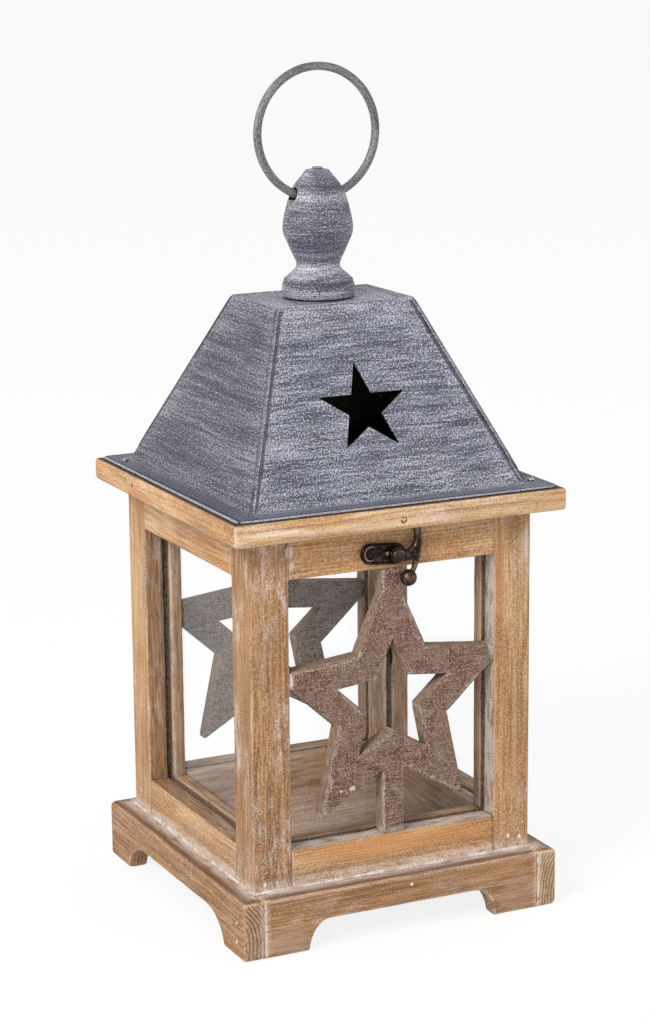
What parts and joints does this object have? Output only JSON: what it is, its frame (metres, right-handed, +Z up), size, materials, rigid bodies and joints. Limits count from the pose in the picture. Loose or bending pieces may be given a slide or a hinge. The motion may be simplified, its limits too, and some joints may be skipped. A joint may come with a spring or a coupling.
{
  "type": "wooden lantern with battery light",
  "caption": "Square wooden lantern with glass panes, cut-out stars, a hinged lid under a sheet-metal roof, a ring handle through a turned finial, a horn latch and a battery light.",
  "frame": {"origin": "middle of the footprint, on the surface that the lantern stands on", "axes": "+Z up, -Y towards the front with the latch and the star, +X to the right as seen from the front"},
  "size_m": [0.152, 0.152, 0.3588],
  "materials": {
    "honey_wood": "limed and waxed, worn",
    "floor_wood": "limed, matte",
    "star_wood": "weathered, speckled",
    "pane_glass": "clear, faintly dusty",
    "roof_sheet": "grey-blue with dry-brushed silver",
    "finial_metal": "grey-blue with turned streaks",
    "ring_metal": "mottled silver-grey",
    "dark_bronze": "darkened, satin",
    "hinge_brass": "satin",
    "screw_steel": "satin",
    "black_plastic": "fine grained",
    "cell_wrap": "plain sleeve",
    "board_green": "solder mask",
    "led_resin": "clear warm resin"
  },
  "bodies": {
    "stand": {"base_rail_left": "honey_wood", "base_rail_right": "honey_wood", "base_rail_front": "honey_wood", "base_rail_back": "honey_wood", "floor_board": "floor_wood", "post_front_left": "honey_wood", "post_front_right": "honey_wood", "post_back_left": "honey_wood", "post_back_right": "honey_wood", "bottom_rail_front": "honey_wood", "top_rail_front": "honey_wood", "glass_front": "pane_glass", "star_front": "star_wood", "bottom_rail_right": "honey_wood", "top_rail_right": "honey_wood", "glass_right": "pane_glass", "bottom_rail_back": "honey_wood", "top_rail_back": "honey_wood", "glass_back": "pane_glass", "star_back": "star_wood", "bottom_rail_left": "honey_wood", "top_rail_left": "honey_wood", "glass_left": "pane_glass", "latch_plate": "dark_bronze", "latch_screw": "dark_bronze", "latch_rivet": "dark_bronze", "hinge_frame_leaf_left": "hinge_brass", "hinge_pin_left": "screw_steel", "hinge_frame_screw_left": "screw_steel", "hinge_frame_leaf_right": "hinge_brass", "hinge_pin_right": "screw_steel", "hinge_frame_screw_right": "screw_steel"},
    "lid": {"lid_rail_front": "honey_wood", "lid_rail_right": "honey_wood", "lid_rail_back": "honey_wood", "lid_rail_left": "honey_wood", "hinge_lid_leaf_left": "hinge_brass", "hinge_lid_screw_left": "screw_steel", "hinge_lid_leaf_right": "hinge_brass", "hinge_lid_screw_right": "screw_steel", "roof": "roof_sheet", "roof_screw_left": "screw_steel", "roof_screw_right": "screw_steel", "keeper_pin": "hinge_brass", "finial": "finial_metal", "finial_screw": "screw_steel", "light_housing": "black_plastic", "light_screw_left": "screw_steel", "light_screw_right": "screw_steel", "cell_front": "cell_wrap", "cell_back": "cell_wrap", "cell_bridge": "screw_steel", "circuit_board": "board_green", "led": "led_resin"},
    "hook": {"latch_hook": "dark_bronze"},
    "ring": {"ring_handle": "ring_metal"},
    "door": {"battery_door": "black_plastic"},
    "switch": {"switch_knob": "black_plastic"}
  },
  "joints": [
    {"name": "lid_hinge", "type": "hinge", "parent": "stand", "child": "lid", "pos_m": [0, 0.0675, 0.17245], "axis": [-1, 0, 0], "range_deg": [0, 100]},
    {"name": "hook_pivot", "type": "hinge", "parent": "stand", "child": "hook", "pos_m": [0, -0.0687, 0.163], "axis": [0, 1, 0], "range_deg": [-10, 90]},
    {"name": "ring_swing", "type": "hinge", "parent": "lid", "child": "ring", "pos_m": [-0.0018, 0, 0.30385], "axis": [1, 0, 0], "range_deg": [-125, 125]},
    {"name": "door_hinge", "type": "hinge", "parent": "lid", "child": "door", "pos_m": [0, 0.01665, 0.1733], "axis": [1, 0, 0], "range_deg": [0, 95]},
    {"name": "switch_slide", "type": "slide", "parent": "lid", "child": "switch", "axis": [1, 0, 0], "range_m": [0, 0.003]}
  ]
}
